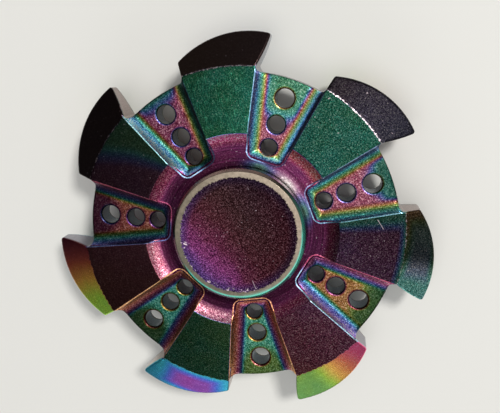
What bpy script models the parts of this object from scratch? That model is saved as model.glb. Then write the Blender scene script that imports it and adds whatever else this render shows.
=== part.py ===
"""Seven-bladed metal fidget spinner, built as the real one comes apart on a bench.

A cast body with seven saw-tooth blades is pressed on to the outer ring of an R188 ball bearing. Two screwed
finger caps clamp the inner ring between them, and are what the fingers hold while the body turns.

Frame: the spin axis is Z, the mid-plane of the body is Z = 0, and +Y runs out through the middle of the first
finger pocket. Driving dimensions are in millimetres, and MM turns them into Blender's metres.
"""

import math

import bmesh
import bpy
from mathutils import Matrix, Vector

MM = 0.001

# ---------------------------------------------------------------- driving dimensions
BLADES = 7
PITCH = 360.0 / BLADES  # angle from one pocket to the next, degrees

# The body's turned section, given for its upper half and mirrored below the mid-plane.
BODY_BORE_R = 6.40
HUB_R = 10.3
HUB_Z = 3.00  # flat hub face under the caps
VALLEY_R = 11.9  # bottom of the turned valley round the hub
VALLEY_Z = 2.85
VALLEY_COVE = (0.56, 0.27)  # a point of the hollow wall, as shares of its width and height
PANEL_R = 14.58  # where the valley's wall meets the raised panels
PANEL_Z = 3.95
CREASE_R = 24.15  # ridge between a panel and its blade's bevel
CREASE_Z = 3.25
EDGE_R = 29.4  # the bevel runs on to just past the blade tips
EDGE_Z = 1.03
BORE_CHAMFER = 0.15

# The saw-blade outline, in radius and in degrees clockwise of the pocket before the blade.
WEB_R = 23.4  # outer edge of the thin web between two blades
BLADE_HEEL = (26.3, 12.7)  # where the blade's back starts
BLADE_BACK = (28.6, 26.5)  # a point half-way along the back
BLADE_TIP = (29.0, 42.0)
HOOK_BOW = 0.16  # how far the hook under the tip is hollowed
HEEL_ROUND = 0.5
TIP_ROUND = 0.45
FOOT_ROUND = 0.8  # fillet between a blade's side and the web's edge

# The finger pockets, cut into both faces. Their sides spread outwards in a straight taper.
POCKET_FLOOR_Z = 2.00
POCKET_INNER_R = 10.75
POCKET_OUTER_R = 26.5  # past the web, so that the pocket is open outwards
POCKET_HALF_WIDTH = 3.40  # at PANEL_AXIAL from the axis
PANEL_AXIAL = 14.18
POCKET_TAPER = 0.197
POCKET_CORNER = 1.0
FLOOR_CORNER = 0.12  # least corner radius, at the foot of the walls
POCKET_COVE = 2.0  # plan width of the hollow wall
POCKET_COVE_RISE = 2.1
POCKET_HOLES = ((20.48, 1.38), (16.48, 1.30), (12.99, 1.18))  # radius from the axis, hole radius

# The R188 bearing: 6.35 bore, 12.7 outside, 4.762 wide, ten 1.588 balls.
BALLS = 10
BALL_R = 0.790
BALL_PITCH_R = 4.7625
RACE_HALF_WIDTH = 2.381
RING_CHAMFER = 0.2
GROOVE_R = 0.826
OUTER_RING_R = 6.35
OUTER_LAND_R = 5.25
SHIELD_STEP_R = 5.70  # the shields sit against a step in the outer ring
SHIELD_STEP_Z = 1.72
INNER_RING_R = 3.175
INNER_LAND_R = 4.25
CAGE_IN_R = 4.42
CAGE_OUT_R = 5.08
CAGE_LOW_Z = -1.30
CAGE_TOP_Z = 0.42
CAGE_POCKET_R = 0.86
SHIELD_IN_R = 4.40
SHIELD_OUT_R = 5.62
SHIELD_LOW_Z = 1.77
SHIELD_TOP_Z = 1.97
CLIP_IN_R = 5.28
CLIP_OUT_R = 5.64
CLIP_LOW_Z = 2.01
CLIP_TOP_Z = 2.26
CLIP_GAP = 24.0  # open part of the spring clip, degrees

# The finger caps and the screw between them.
CAP_R = 9.75
CAP_TOP_Z = 6.20
CAP_UNDER_Z = 3.50
CAP_RIM_OUT_R = 9.35  # the flat rim that a finger or a table touches
CAP_RIM_IN_R = 8.50
CAP_DISH_Z = 5.65  # lowest point of the dished face
CAP_EDGE = 0.40  # bevel outside the rim
BOSS_R = 4.00
BOSS_Z = 2.42
SPIGOT_R = 3.12
SPIGOT_Z = 0.30
TAP_R = 2.05
TAP_DEPTH_Z = 4.60
SCREW_R = 2.00
SCREW_HALF_LENGTH = 4.00
SCREW_CHAMFER = 0.35
SOCKET_ACROSS_FLATS = 2.0
SOCKET_DEPTH = 1.6

CUT_MARGIN = 1.0  # how far a cutting shape runs past the face it cuts

# Facets round a turned piece. The body's count is a multiple of the blades.
BODY_STEPS = 18 * BLADES
RING_STEPS = 40
CAP_STEPS = 64
SCREW_STEPS = 32
CLIP_STEPS = 40
HOLE_SIDES = 20
BALL_SEGMENTS = (12, 7)  # round the ball, and from pole to pole

# Straight pieces in each curve of a section or an outline.
ROUND_SEGMENTS = 3
BLADE_BACK_SEGMENTS = 8
HOOK_SEGMENTS = 4
COVE_SEGMENTS = 4
GROOVE_SEGMENTS = 5
DISH_SEGMENTS = 8  # across the whole dish


# ---------------------------------------------------------------- scene and materials
def clear_scene():
    for obj in list(bpy.data.objects):
        bpy.data.objects.remove(obj, do_unlink=True)


def make_collection(name):
    collection = bpy.data.collections.new(name)
    bpy.context.scene.collection.children.link(collection)
    return collection


def make_material(name, colour, roughness, metallic=1.0):
    material = bpy.data.materials.new(name)
    material.use_nodes = True
    shader = material.node_tree.nodes["Principled BSDF"]
    shader.inputs["Base Color"].default_value = (*colour, 1.0)
    shader.inputs["Roughness"].default_value = roughness
    shader.inputs["Metallic"].default_value = metallic
    return material


def add_object(name, mesh, collection, material=None):
    obj = bpy.data.objects.new(name, mesh)
    collection.objects.link(obj)
    if material:
        mesh.materials.append(material)
    return obj


def add_cutter(name, mesh, collection):
    obj = add_object(name, mesh, collection)
    obj.hide_render = True
    obj.display_type = "WIRE"
    return obj


def finish_bmesh(bm, name):
    bmesh.ops.recalc_face_normals(bm, faces=bm.faces)
    mesh = bpy.data.meshes.new(name)
    bm.to_mesh(mesh)
    bm.free()
    return mesh


def add_boolean(obj, cutter, operation):
    modifier = obj.modifiers.new(cutter.name, "BOOLEAN")
    modifier.operation = operation
    modifier.solver = "EXACT"
    modifier.object = cutter


# ---------------------------------------------------------------- plane geometry
def polar(radius, degrees):
    """A point in a pocket's frame: first out along the pocket, then clockwise across it."""
    angle = math.radians(degrees)
    return Vector((radius * math.cos(angle), radius * math.sin(angle)))


def arc_through(start, middle, end, segments):
    """Points of the circle through three points, from start to end."""
    a, b, c = start, middle, end
    d = 2.0 * (a.x * (b.y - c.y) + b.x * (c.y - a.y) + c.x * (a.y - b.y))
    centre = Vector((
        (a.dot(a) * (b.y - c.y) + b.dot(b) * (c.y - a.y) + c.dot(c) * (a.y - b.y)) / d,
        (a.dot(a) * (c.x - b.x) + b.dot(b) * (a.x - c.x) + c.dot(c) * (b.x - a.x)) / d,
    ))
    sweep = (c - centre).angle_signed(a - centre)
    spoke = a - centre
    return [centre + turn(spoke, sweep * k / segments) for k in range(segments + 1)]


def turn(vector, angle):
    return Vector((
        vector.x * math.cos(angle) - vector.y * math.sin(angle),
        vector.x * math.sin(angle) + vector.y * math.cos(angle),
    ))


def round_corner(before, corner, after, radius, segments):
    """A circular round of the given radius in place of a corner."""
    to_before = (before - corner).normalized()
    to_after = (after - corner).normalized()
    half = to_before.angle(to_after) / 2.0
    reach = radius / math.tan(half)
    centre = corner + (to_before + to_after).normalized() * (radius / math.sin(half))
    first = corner + to_before * reach - centre
    last = corner + to_after * reach - centre
    sweep = last.angle_signed(first)
    return [centre + turn(first, sweep * k / segments) for k in range(segments + 1)]


def pocket_half_width(along):
    return POCKET_HALF_WIDTH + POCKET_TAPER * (along - PANEL_AXIAL)


# ---------------------------------------------------------------- the body
def sector_outline():
    """One seventh of the saw-blade outline, clockwise, in the frame of the pocket that it starts with."""
    slope = math.atan(POCKET_TAPER)
    centre_r = WEB_R + FOOT_ROUND
    along = centre_r
    for _ in range(4):  # settles where the fillet touches both the web's edge and the blade's side
        across = pocket_half_width(along) - FOOT_ROUND / math.cos(slope)
        along = math.sqrt(centre_r**2 - across**2)
    foot_angle = math.degrees(math.atan2(across, along))
    centre = Vector((along, across))
    side_touch = centre + FOOT_ROUND * Vector((-math.sin(slope), math.cos(slope)))
    web_touch = polar(WEB_R, foot_angle)
    middle = centre + FOOT_ROUND * ((side_touch + web_touch) / 2.0 - centre).normalized()
    right_foot = arc_through(web_touch, middle, side_touch, ROUND_SEGMENTS)
    left_foot = [Vector((p.x, -p.y)) for p in reversed(right_foot)]
    web = [polar(WEB_R, foot_angle * k) for k in (-0.6, -0.2, 0.2, 0.6)]  # five equal pieces

    heel = polar(*BLADE_HEEL)
    tip = polar(*BLADE_TIP)
    back = arc_through(heel, polar(*BLADE_BACK), tip, BLADE_BACK_SEGMENTS)
    heel_round = round_corner(side_touch, heel, back[1], HEEL_ROUND, ROUND_SEGMENTS)
    hook_foot = polar(left_foot[0].length, PITCH + math.degrees(math.atan2(left_foot[0].y, left_foot[0].x)))
    hook_line = (hook_foot - tip).normalized()
    hollow = Vector((hook_line.y, -hook_line.x)) * HOOK_BOW
    hook = arc_through(tip, (tip + hook_foot) / 2.0 + hollow, hook_foot, HOOK_SEGMENTS)
    tip_round = round_corner(back[-2], tip, hook[1], TIP_ROUND, ROUND_SEGMENTS)
    return left_foot + web + right_foot + heel_round + back[1:-1] + tip_round + hook[1:-1]


def to_world(point, sector):
    """Places a point of a pocket's frame in the row frame, the pockets counted clockwise from +Y."""
    angle = math.radians(90.0 - PITCH * sector) - math.atan2(point.y, point.x)
    return point.length * math.cos(angle), point.length * math.sin(angle)


def outline_prism():
    """The saw-blade outline as an upright prism, deeper than the body."""
    depth = PANEL_Z + CUT_MARGIN
    bm = bmesh.new()
    verts = []
    for sector in range(BLADES):
        for point in sector_outline():
            x, y = to_world(point, sector)
            verts.append(bm.verts.new((x * MM, y * MM, -depth * MM)))
    face = bm.faces.new(verts)
    extruded = bmesh.ops.extrude_face_region(bm, geom=[face])
    lifted = [item for item in extruded["geom"] if isinstance(item, bmesh.types.BMVert)]
    bmesh.ops.translate(bm, verts=lifted, vec=(0.0, 0.0, 2.0 * depth * MM))
    return finish_bmesh(bm, "outline_prism")


def pocket_ring(inset):
    """The pocket's plan outline, drawn in by inset, as points of the pocket's frame."""
    slope = math.atan(POCKET_TAPER)
    corner = max(POCKET_CORNER - inset, FLOOR_CORNER)
    spread = inset / math.cos(slope)
    along = POCKET_INNER_R + inset + corner
    across = pocket_half_width(along) - spread - corner / math.cos(slope)
    centre = Vector((along, across))
    bend = [
        centre + corner * Vector((-math.cos(angle), math.sin(angle)))
        for angle in (k / ROUND_SEGMENTS * (math.pi / 2.0 - slope) for k in range(ROUND_SEGMENTS + 1))
    ]
    outer = Vector((POCKET_OUTER_R, pocket_half_width(POCKET_OUTER_R) - spread))
    right = bend + [outer]
    left = [Vector((p.x, -p.y)) for p in reversed(right)]
    return left + right


def pocket_cutters():
    """All the pockets of both faces: lofted solids whose walls are hollow coves down to a flat floor."""
    levels = [(0.0, POCKET_COVE_RISE + CUT_MARGIN)]
    for k in range(COVE_SEGMENTS + 1):
        angle = math.radians(90.0) * k / COVE_SEGMENTS
        levels.append((POCKET_COVE * (1.0 - math.cos(angle)), POCKET_COVE_RISE * (1.0 - math.sin(angle))))
    bm = bmesh.new()
    for side in (1.0, -1.0):
        for sector in range(BLADES):
            rings = []
            for inset, rise in levels:
                ring = []
                for point in pocket_ring(inset):
                    x, y = to_world(point, sector)
                    ring.append(bm.verts.new((x * MM, y * MM, side * (POCKET_FLOOR_Z + rise) * MM)))
                rings.append(ring)
            for upper, lower in zip(rings, rings[1:]):
                for k in range(len(upper)):
                    j = (k + 1) % len(upper)
                    bm.faces.new((upper[k], upper[j], lower[j], lower[k]))
            bm.faces.new(rings[0])
            bm.faces.new(rings[-1])
    return finish_bmesh(bm, "pocket_cutters")


def hole_cutters():
    """The three through holes in the floor of each pocket."""
    bm = bmesh.new()
    for sector in range(BLADES):
        for distance, radius in POCKET_HOLES:
            x, y = to_world(Vector((distance, 0.0)), sector)
            bmesh.ops.create_cone(
                bm,
                cap_ends=True,
                segments=HOLE_SIDES,
                radius1=radius * MM,
                radius2=radius * MM,
                depth=2.0 * (POCKET_FLOOR_Z + CUT_MARGIN) * MM,
                matrix=Matrix.Translation((x * MM, y * MM, 0.0)),
            )
    return finish_bmesh(bm, "hole_cutters")


def turned(name, profile, steps, collection, material, closed=True):
    """A turned piece. A closed profile runs down its outer side; an open one starts and ends on the axis."""
    mesh = bpy.data.meshes.new(name)
    count = len(profile)
    edges = [(k, k + 1) for k in range(count - 1)]
    if closed:
        edges.append((count - 1, 0))
    mesh.from_pydata([(r * MM, 0.0, z * MM) for r, z in profile], edges, [])
    obj = add_object(name, mesh, collection, material)
    screw = obj.modifiers.new("turn", "SCREW")
    screw.angle = math.tau
    screw.steps = steps
    screw.render_steps = steps
    screw.use_merge_vertices = True
    screw.merge_threshold = 0.00001
    screw.use_smooth_shade = True
    return obj


def mirrored(upper):
    """A closed profile from its upper half, which runs from the bore outwards."""
    return upper + [(r, -z) for r, z in reversed(upper)]


def add_body(collection, cutters, material):
    low = Vector((VALLEY_R, VALLEY_Z))
    high = Vector((PANEL_R, PANEL_Z))
    across, up = VALLEY_COVE
    middle = Vector((low.x + across * (high.x - low.x), low.y + up * (high.y - low.y)))
    cove = arc_through(low, middle, high, COVE_SEGMENTS)
    upper = [
        (BODY_BORE_R, HUB_Z - BORE_CHAMFER),
        (BODY_BORE_R + BORE_CHAMFER, HUB_Z),
        (HUB_R, HUB_Z),
    ]
    upper += [(p.x, p.y) for p in cove]
    upper += [(CREASE_R, CREASE_Z), (EDGE_R, EDGE_Z)]
    body = turned("spinner_body", mirrored(upper), BODY_STEPS, collection, material)
    add_boolean(body, add_cutter("cut_outline", outline_prism(), cutters), "INTERSECT")
    add_boolean(body, add_cutter("cut_pockets", pocket_cutters(), cutters), "DIFFERENCE")
    add_boolean(body, add_cutter("cut_holes", hole_cutters(), cutters), "DIFFERENCE")
    return body


# ---------------------------------------------------------------- the bearing
def groove(direction):
    """The ball groove's arc, from its upper lip to its lower one, as (radius, z)."""
    land = OUTER_LAND_R if direction > 0 else INNER_LAND_R
    bottom = BALL_PITCH_R + direction * GROOVE_R
    depth = abs(bottom - land)
    half = math.acos((GROOVE_R - depth) / GROOVE_R)
    points = []
    for k in range(GROOVE_SEGMENTS + 1):
        angle = half * (1.0 - 2.0 * k / GROOVE_SEGMENTS)
        points.append((BALL_PITCH_R + direction * GROOVE_R * math.cos(angle), GROOVE_R * math.sin(angle)))
    return points


def add_outer_ring(collection, material):
    top, chamfer = RACE_HALF_WIDTH, RING_CHAMFER
    step_in = [(SHIELD_STEP_R, -top), (SHIELD_STEP_R, -SHIELD_STEP_Z), (OUTER_LAND_R, -SHIELD_STEP_Z)]
    step_out = [(r, -z) for r, z in reversed(step_in)]
    outside = [
        (OUTER_RING_R - chamfer, top),
        (OUTER_RING_R, top - chamfer),
        (OUTER_RING_R, chamfer - top),
        (OUTER_RING_R - chamfer, -top),
    ]
    profile = outside + step_in + list(reversed(groove(1.0))) + step_out
    return turned("bearing_outer_ring", profile, RING_STEPS, collection, material)


def add_inner_ring(collection, material):
    top, chamfer = RACE_HALF_WIDTH, RING_CHAMFER
    outside = [(INNER_LAND_R - chamfer, top), (INNER_LAND_R, top - chamfer)]
    below = [(r, -z) for r, z in reversed(outside)]
    bore = [
        (INNER_RING_R + chamfer, -top),
        (INNER_RING_R, chamfer - top),
        (INNER_RING_R, top - chamfer),
        (INNER_RING_R + chamfer, top),
    ]
    profile = outside + groove(-1.0) + below + bore
    return turned("bearing_inner_ring", profile, RING_STEPS, collection, material)


def ball_centre(index):
    angle = math.tau * index / BALLS
    return BALL_PITCH_R * math.cos(angle), BALL_PITCH_R * math.sin(angle)


def add_cage(collection, cutters, material):
    profile = [
        (CAGE_OUT_R, CAGE_TOP_Z),
        (CAGE_OUT_R, CAGE_LOW_Z),
        (CAGE_IN_R, CAGE_LOW_Z),
        (CAGE_IN_R, CAGE_TOP_Z),
    ]
    cage = turned("ball_cage", profile, RING_STEPS, collection, material)
    around, rows = BALL_SEGMENTS
    bm = bmesh.new()
    for index in range(BALLS):
        x, y = ball_centre(index)
        bmesh.ops.create_uvsphere(
            bm,
            u_segments=around,
            v_segments=rows + 1,
            radius=CAGE_POCKET_R * MM,
            matrix=Matrix.Translation((x * MM, y * MM, 0.0)),
        )
    add_boolean(cage, add_cutter("cut_cage_pockets", finish_bmesh(bm, "cage_pockets"), cutters), "DIFFERENCE")
    return cage


def add_balls(collection, material):
    bm = bmesh.new()
    around, rows = BALL_SEGMENTS
    bmesh.ops.create_uvsphere(bm, u_segments=around, v_segments=rows, radius=BALL_R * MM)
    mesh = finish_bmesh(bm, "bearing_ball")
    mesh.materials.append(material)
    mesh.shade_smooth()
    for index in range(BALLS):
        ball = bpy.data.objects.new(f"ball_{index + 1:02d}", mesh)
        collection.objects.link(ball)
        x, y = ball_centre(index)
        ball.location = (x * MM, y * MM, 0.0)


def add_shield(name, side, collection, material):
    """A thin washer that keeps dust out of the balls, against its step in the outer ring."""
    profile = [
        (SHIELD_OUT_R, SHIELD_TOP_Z),
        (SHIELD_OUT_R, SHIELD_LOW_Z),
        (SHIELD_IN_R, SHIELD_LOW_Z),
        (SHIELD_IN_R, SHIELD_TOP_Z),
    ]
    return turned(name, flip(profile, side), RING_STEPS, collection, material)


def flip(profile, side):
    """The profile itself for the upper side, or mirrored and run the other way for the lower one."""
    if side > 0:
        return profile
    return [(r, -z) for r, z in reversed(profile)]


def add_clip(name, side, collection, material):
    """The open spring ring that holds a shield in."""
    sweep = math.radians(360.0 - CLIP_GAP)
    low, high = sorted((side * CLIP_LOW_Z, side * CLIP_TOP_Z))
    bm = bmesh.new()
    sections = []
    for k in range(CLIP_STEPS + 1):
        angle = math.radians(CLIP_GAP / 2.0) + sweep * k / CLIP_STEPS
        section = []
        for radius, z in ((CLIP_OUT_R, low), (CLIP_OUT_R, high), (CLIP_IN_R, high), (CLIP_IN_R, low)):
            section.append(bm.verts.new((
                radius * math.cos(angle) * MM,
                radius * math.sin(angle) * MM,
                z * MM,
            )))
        sections.append(section)
    for first, second in zip(sections, sections[1:]):
        for k in range(4):
            j = (k + 1) % 4
            bm.faces.new((first[k], first[j], second[j], second[k]))
    bm.faces.new(sections[0])
    bm.faces.new(sections[-1])
    return add_object(name, finish_bmesh(bm, name), collection, material)


# ---------------------------------------------------------------- the caps and their screw
def add_cap(name, side, collection, material):
    """A dished finger button with a boss on the inner ring, a spigot in its bore and a tapped hole."""
    dish = arc_through(
        Vector((-CAP_RIM_IN_R, CAP_TOP_Z)),
        Vector((0.0, CAP_DISH_Z)),
        Vector((CAP_RIM_IN_R, CAP_TOP_Z)),
        DISH_SEGMENTS,
    )
    profile = [(max(p.x, 0.0), p.y) for p in dish[DISH_SEGMENTS // 2:]]
    profile += [
        (CAP_RIM_OUT_R, CAP_TOP_Z),
        (CAP_R, CAP_TOP_Z - CAP_EDGE),
        (CAP_R, CAP_UNDER_Z + CAP_EDGE),
        (CAP_RIM_OUT_R, CAP_UNDER_Z),
        (BOSS_R, CAP_UNDER_Z),
        (BOSS_R, BOSS_Z),
        (SPIGOT_R, BOSS_Z),
        (SPIGOT_R, SPIGOT_Z),
        (TAP_R, SPIGOT_Z),
        (TAP_R, TAP_DEPTH_Z),
        (0.0, TAP_DEPTH_Z),
    ]
    return turned(name, flip(profile, side), CAP_STEPS, collection, material, closed=False)


def add_screw(collection, cutters, material):
    """The grub screw that draws both caps together, with a hexagon socket in its upper end."""
    top = SCREW_HALF_LENGTH
    profile = [
        (0.0, top),
        (SCREW_R - SCREW_CHAMFER, top),
        (SCREW_R, top - SCREW_CHAMFER),
        (SCREW_R, SCREW_CHAMFER - top),
        (SCREW_R - SCREW_CHAMFER, -top),
        (0.0, -top),
    ]
    screw = turned("cap_screw", profile, SCREW_STEPS, collection, material, closed=False)
    bm = bmesh.new()
    corner = SOCKET_ACROSS_FLATS / 2.0 / math.cos(math.radians(30.0))
    bmesh.ops.create_cone(
        bm,
        cap_ends=True,
        segments=6,
        radius1=corner * MM,
        radius2=corner * MM,
        depth=2.0 * SOCKET_DEPTH * MM,
        matrix=Matrix.Translation((0.0, 0.0, top * MM)),
    )
    add_boolean(screw, add_cutter("cut_socket", finish_bmesh(bm, "socket"), cutters), "DIFFERENCE")
    return screw


def main():
    clear_scene()
    parts = make_collection("fidget_spinner")
    cutters = make_collection("cutters")
    coated = make_material("coated_casting", (0.16, 0.10, 0.20), 0.32)
    cap_metal = make_material("cap_finish", (0.22, 0.10, 0.18), 0.38)
    steel = make_material("bearing_steel", (0.62, 0.63, 0.65), 0.22)
    sheet = make_material("shield_steel", (0.50, 0.51, 0.53), 0.35)
    retainer = make_material("cage_steel", (0.45, 0.42, 0.36), 0.40)
    black_steel = make_material("screw_steel", (0.05, 0.05, 0.055), 0.45)

    add_body(parts, cutters, coated)
    add_outer_ring(parts, steel)
    add_inner_ring(parts, steel)
    add_cage(parts, cutters, retainer)
    add_balls(parts, steel)
    for side, place in ((1.0, "top"), (-1.0, "bottom")):
        add_shield(f"bearing_shield_{place}", side, parts, sheet)
        add_clip(f"shield_clip_{place}", side, parts, steel)
        add_cap(f"{place}_cap", side, parts, cap_metal)
    add_screw(parts, cutters, black_steel)
    bpy.context.view_layer.update()


main()
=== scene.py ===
"""Look of the seven-bladed fidget spinner.

A rainbow-coated casting turns on a ball bearing between two worn finger caps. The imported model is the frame.
The body and both caps are replaced by finer pieces with rounded edges, and the bearing keeps its CAD nodes.
The driving dimensions repeat those of the CAD source, in millimetres.
"""

import math

import bpy
import numpy as np
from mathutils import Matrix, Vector, kdtree
from mathutils.geometry import delaunay_2d_cdt


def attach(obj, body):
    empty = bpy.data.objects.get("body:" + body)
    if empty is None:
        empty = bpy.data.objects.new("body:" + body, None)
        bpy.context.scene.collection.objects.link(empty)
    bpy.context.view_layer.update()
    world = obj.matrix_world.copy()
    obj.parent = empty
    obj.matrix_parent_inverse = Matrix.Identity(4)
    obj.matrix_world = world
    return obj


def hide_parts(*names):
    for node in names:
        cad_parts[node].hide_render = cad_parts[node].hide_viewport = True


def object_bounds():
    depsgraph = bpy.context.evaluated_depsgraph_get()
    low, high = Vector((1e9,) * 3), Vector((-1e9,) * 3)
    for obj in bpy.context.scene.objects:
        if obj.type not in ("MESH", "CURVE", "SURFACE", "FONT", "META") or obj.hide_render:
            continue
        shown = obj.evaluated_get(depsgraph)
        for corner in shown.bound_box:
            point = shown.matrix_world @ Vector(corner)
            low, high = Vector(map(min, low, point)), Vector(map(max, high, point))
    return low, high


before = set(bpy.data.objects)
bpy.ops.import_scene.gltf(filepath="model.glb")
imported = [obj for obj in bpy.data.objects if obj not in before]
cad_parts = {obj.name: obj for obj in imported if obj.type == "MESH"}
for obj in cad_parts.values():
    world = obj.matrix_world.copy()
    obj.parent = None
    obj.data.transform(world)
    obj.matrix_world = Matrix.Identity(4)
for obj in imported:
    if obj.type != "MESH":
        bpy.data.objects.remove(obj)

cad_low, cad_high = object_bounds()

MM = 0.001
FAR = 9.0  # stands for any distance that is too long to matter
BLADES = 7
PITCH = math.tau / BLADES

# ---------------------------------------------------------------- the body's dimensions
BORE_R = 6.40
HUB_R = 10.3
HUB_Z = 3.00
VALLEY_R = 11.9
VALLEY_Z = 2.85
VALLEY_COVE = (0.56, 0.27)  # a point of the valley's outer cove, as shares of its width and height
PANEL_R = 14.58
PANEL_Z = 3.95
CREASE_R = 24.15
CREASE_Z = 3.25
EDGE_R = 29.4
EDGE_Z = 1.03
WEB_R = 23.4
# Points of a blade: radius, and degrees clockwise from the pocket before it.
BLADE_HEEL = (26.3, 12.7)
BLADE_BACK = (28.6, 26.5)
BLADE_TIP = (29.0, 42.0)
HOOK_BOW = 0.16
HEEL_ROUND = 0.5
TIP_ROUND = 0.45
FOOT_ROUND = 0.8
POCKET_FLOOR_Z = 2.00
POCKET_INNER_R = 10.75
POCKET_OUTER_R = 26.5
POCKET_HALF_WIDTH = 3.40
PANEL_AXIAL = 14.18
POCKET_TAPER = 0.197
POCKET_CORNER = 1.0
POCKET_COVE = 2.0
POCKET_COVE_RISE = 2.1
# Distance from the axis and radius of each hole in a pocket.
POCKET_HOLES = ((20.48, 1.38), (16.48, 1.30), (12.99, 1.18))

# Rounds that the coating and the casting leave on the edges.
OUTLINE_INSET = 0.035  # keeps the finer curves inside the coarser ones of the CAD model
OUTLINE_SOFT = 0.24
HOLE_SOFT = 0.26
BORE_SOFT = 0.15
RIM_SOFT = 0.40  # height over which a pocket's rim turns over
CREASE_SOFT = 0.05
PANEL_SOFT = 0.12
# The highlight painted on each hole's rim sits on this side; the rest of the rim gets painted shade.
LIT_SIDE = -0.45 - 0.89j  # side of each hole whose rim catches the light

# How closely the body's mesh follows its features.
BORE_STEPS = 84
RING_STEPS = 336
HUB_RING_STEPS = 210  # on loose rings up to the hub's edge
HUB_RINGS_TO = 11.5
HOLE_STEPS = 36
SOFT_SHARES = (0.12, 0.32, 0.62, 1.0, 1.7)  # lines over an edge's round, as shares of its size
POCKET_CONTOURS_TO = 25.2
POCKET_CONTOURS = (
    -0.28, -0.14, -0.05, 0.0, 0.05, 0.11, 0.18, 0.26, 0.35,
    0.46, 0.6, 0.76, 0.94, 1.14, 1.36, 1.6, 1.86, 2.05,
)
LOOSE_RINGS = (
    6.8, 7.6, 8.5, 9.2, 9.8, 10.3, 10.8, 11.3, 11.7, 12.1, 12.5, 12.9, 13.3, 13.7, 14.0, 14.22, 14.4,
    14.52, 14.64, 14.76, 15.0, *np.arange(15.6, 23.6, 0.62),
    23.75, 23.98, 24.08, 24.22, 24.34, 24.6, *np.arange(25.1, 29.0, 0.55),
)
WALL_LEVELS = (0.82, 0.5, 0.0, -0.5, -0.82)  # rows of points down a side wall, as shares of the rim's height

# ---------------------------------------------------------------- the coating, place by place
COATING_VALUES = ("film", "glow", "grain", "wear_and_highlight", "pale", "crease")
# Film thickness is in cycles of colour: 0 yellow-green, .1 orange, .3 magenta, .5 violet, .6 blue, .8 teal,
# .9 green. Each row is one blade, clockwise from the first pocket: film at its counter-clockwise side, film
# at its clockwise side, film added towards the crease, brightness at each side, paleness and grain. The
# brightness is painted light and shade, lighter on the panels that face the lights.
PANELS = (
    (0.83, 0.82, 0.03, 0.115, 0.125, 0.08, 1.0),
    (0.84, 0.40, 0.00, 0.065, 0.095, 0.24, 1.0),
    (0.36, 0.30, -0.03, 0.15, 0.12, 0.18, 1.0),
    (0.91, 0.90, -0.03, 0.085, 0.060, 0.12, 0.9),
    (0.26, 0.31, -0.05, 0.035, 0.045, 0.28, 0.5),
    (0.36, 0.89, 0.00, 0.030, 0.040, 0.30, 0.6),
    (0.87, 0.86, 0.00, 0.095, 0.145, 0.04, 0.7),
)
# Film at each end of the bevel and film added along its borders, brightness at each end, and paleness. The
# brightness is painted light and shade: bright on the bevels that face the lights, dark on the others.
BEVELS = (
    (0.45, 0.55, 0.00, 0.026, 0.055, 0.7),
    (0.85, 0.50, 0.28, 0.080, 0.68, 0.8),
    (0.29, -0.02, 0.00, 2.40, 0.42, 0.05),
    (0.45, 0.45, 0.28, 0.55, 0.62, 0.0),
    (-0.02, 0.27, 0.00, 1.35, 0.08, 0.0),
    (0.30, 0.30, 0.00, 0.026, 0.026, 0.6),
    (0.16, 0.26, 0.00, 0.055, 0.060, 0.6),
)
# Each row is one wall of a pocket, counter-clockwise one first. Along its rim runs a line with its own film,
# brightness and paleness, painted as a highlight on some rims and as shade on others. Then come the film at
# the rim and at the foot, how late it changes between them, and the brightness at the rim, half way down and
# at the foot, which is painted light and shade: brighter on walls that face the lights.
WALLS = (
    (0.68, 1.10, 0.40, 0.52, 1.26, 1.15, 1.10, 1.40, 0.50),
    (0.55, 0.08, 0.30, 0.52, 1.26, 1.10, 0.10, 2.40, 0.85),
    (0.62, 0.60, 0.50, 0.58, 1.22, 1.20, 0.80, 0.75, 0.55),
    (0.72, 0.70, 0.40, 0.68, 1.32, 1.05, 0.90, 0.75, 0.28),
    (0.28, 1.10, 0.10, 0.32, 0.86, 2.20, 1.60, 0.45, 0.22),
    (0.74, 1.80, 0.50, 0.50, 1.08, 2.20, 3.40, 0.42, 0.12),
    (0.12, 1.10, 0.20, 0.14, 0.74, 1.80, 0.85, 0.55, 0.18),
    (0.12, 1.10, 0.20, 0.15, 0.66, 2.20, 0.95, 0.90, 0.08),
    (0.12, 0.40, 0.20, 0.14, 0.78, 1.20, 0.40, 0.26, 0.12),
    (0.10, 1.30, 0.25, 0.14, 0.54, 2.20, 0.70, 0.22, 0.07),
    (0.62, 0.40, 0.30, 0.50, 1.14, 1.10, 0.40, 0.22, 0.04),
    (0.28, 0.80, 0.10, 0.36, 0.92, 1.60, 0.40, 0.08, 0.08),
    (0.72, 1.80, 0.45, 0.64, 1.22, 2.60, 4.50, 0.30, 0.06),
    (0.70, 0.06, 0.30, 0.72, 1.18, 1.30, 0.06, 0.10, 0.45),
)
# Each row is one pocket's floor: film at its inner and outer end and how far out it changes, brightness at
# each end, and paleness. The brightness is painted light and shade.
FLOORS = (
    (1.30, 1.86, 17.8, 0.52, 0.36, 0.18),
    (1.30, 1.84, 21.2, 0.46, 0.14, 0.18),
    (1.13, 0.94, 20.5, 0.34, 0.13, 0.10),
    (0.85, 0.97, 20.0, 0.34, 0.20, 0.10),
    (0.83, 0.93, 20.0, 0.22, 0.055, 0.10),
    (1.19, 1.32, 20.0, 0.20, 0.06, 0.12),
    (1.32, 1.84, 22.6, 0.30, 0.10, 0.12),
)
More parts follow.
